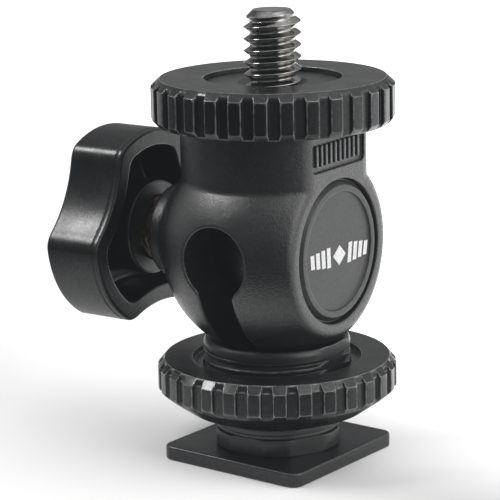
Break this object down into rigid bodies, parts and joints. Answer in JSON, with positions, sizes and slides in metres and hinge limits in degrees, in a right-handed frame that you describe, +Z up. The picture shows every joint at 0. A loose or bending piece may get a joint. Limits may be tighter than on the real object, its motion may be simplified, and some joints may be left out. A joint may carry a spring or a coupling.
{
  "type": "swivel head with shoe foot and screw stud",
  "caption": "Small swivel head: shoe foot with clamping wheel, lockable ball joint in a slotted round housing, lobed clamp knob, and a threaded stud with lock wheel.",
  "frame": {"origin": "centre of the shoe plate's underside, on the axis of the stem and the stud", "axes": "+Z up along the stem and the stud, +X towards the round cover cap, -Y towards the keyhole slot, -X towards the clamp knob"},
  "size_m": [0.0364, 0.0264, 0.0494],
  "materials": {
    "foot_plastic": "black, satin, fine moulded grain",
    "housing_plastic": "black glass-filled nylon, satin, fine speckled grain",
    "cap_plastic": "black, satin, with a white printed mark",
    "wheel_plastic": "black, half gloss, edges lightly polished",
    "knob_plastic": "black, glossy",
    "seat_plastic": "black acetal, satin",
    "steel": "zinc plated",
    "stud_steel": "dark plated thread, bright",
    "ball_steel": "blackened steel",
    "black_metal": "blackened, satin, turned",
    "brass": "turned brass"
  },
  "bodies": {
    "foot": {"shoe_foot": "foot_plastic", "stem_screw": "steel", "stem_washer": "steel"},
    "ball": {"ball": "ball_steel"},
    "housing": {"housing": "housing_plastic", "ball_seat": "seat_plastic", "seat_spring": "steel", "seat_retainer": "steel", "cover_cap": "cap_plastic", "mounting_stud": "stud_steel", "threaded_bush": "brass"},
    "brake": {"brake_shoe": "seat_plastic"},
    "knob": {"clamp_knob": "knob_plastic", "knob_screw": "brass", "knob_collar": "brass"},
    "top_bush": {"top_wheel_bush": "black_metal"},
    "top_wheel": {"top_lock_wheel": "wheel_plastic"},
    "clamp_washers": {"slip_washer": "black_metal", "spring_washer": "black_metal"},
    "lower_wheel": {"lower_lock_wheel": "wheel_plastic", "clamp_nut": "black_metal"}
  },
  "joints": [
    {"name": "pan", "type": "hinge", "parent": "foot", "child": "ball", "pos_m": [0, 0, 0.0239], "axis": [0, 0, 1], "continuous": true},
    {"name": "tilt", "type": "hinge", "parent": "ball", "child": "housing", "pos_m": [0, 0, 0.0239], "axis": [1, 0, 0], "range_deg": [-20, 90]},
    {"name": "brake_travel", "type": "slide", "parent": "housing", "child": "brake", "axis": [-1, 0, 0], "range_m": [0, 0.0012]},
    {"name": "knob_turn", "type": "hinge", "parent": "brake", "child": "knob", "pos_m": [-0.0165, 0, 0.0239], "axis": [-1, 0, 0], "range_deg": [0, 430]},
    {"name": "top_wheel_rise", "type": "slide", "parent": "housing", "child": "top_bush", "axis": [0, 0, 1], "range_m": [0, 0.00635]},
    {"name": "top_wheel_turn", "type": "hinge", "parent": "top_bush", "child": "top_wheel", "pos_m": [0, 0, 0.04], "axis": [0, 0, 1], "range_deg": [0, 1800]},
    {"name": "lower_wheel_rise", "type": "slide", "parent": "foot", "child": "clamp_washers", "axis": [0, 0, 1], "range_m": [0, 0.002]},
    {"name": "lower_wheel_turn", "type": "hinge", "parent": "clamp_washers", "child": "lower_wheel", "pos_m": [0, 0, 0.009], "axis": [0, 0, 1], "range_deg": [0, 720]}
  ],
  "couplings": [
    {"joint": "brake_travel", "follows": "knob_turn", "m_per_rad": 0.00015915},
    {"joint": "top_wheel_rise", "follows": "top_wheel_turn", "m_per_rad": 0.00020213},
    {"joint": "lower_wheel_rise", "follows": "lower_wheel_turn", "m_per_rad": 0.00015915}
  ]
}
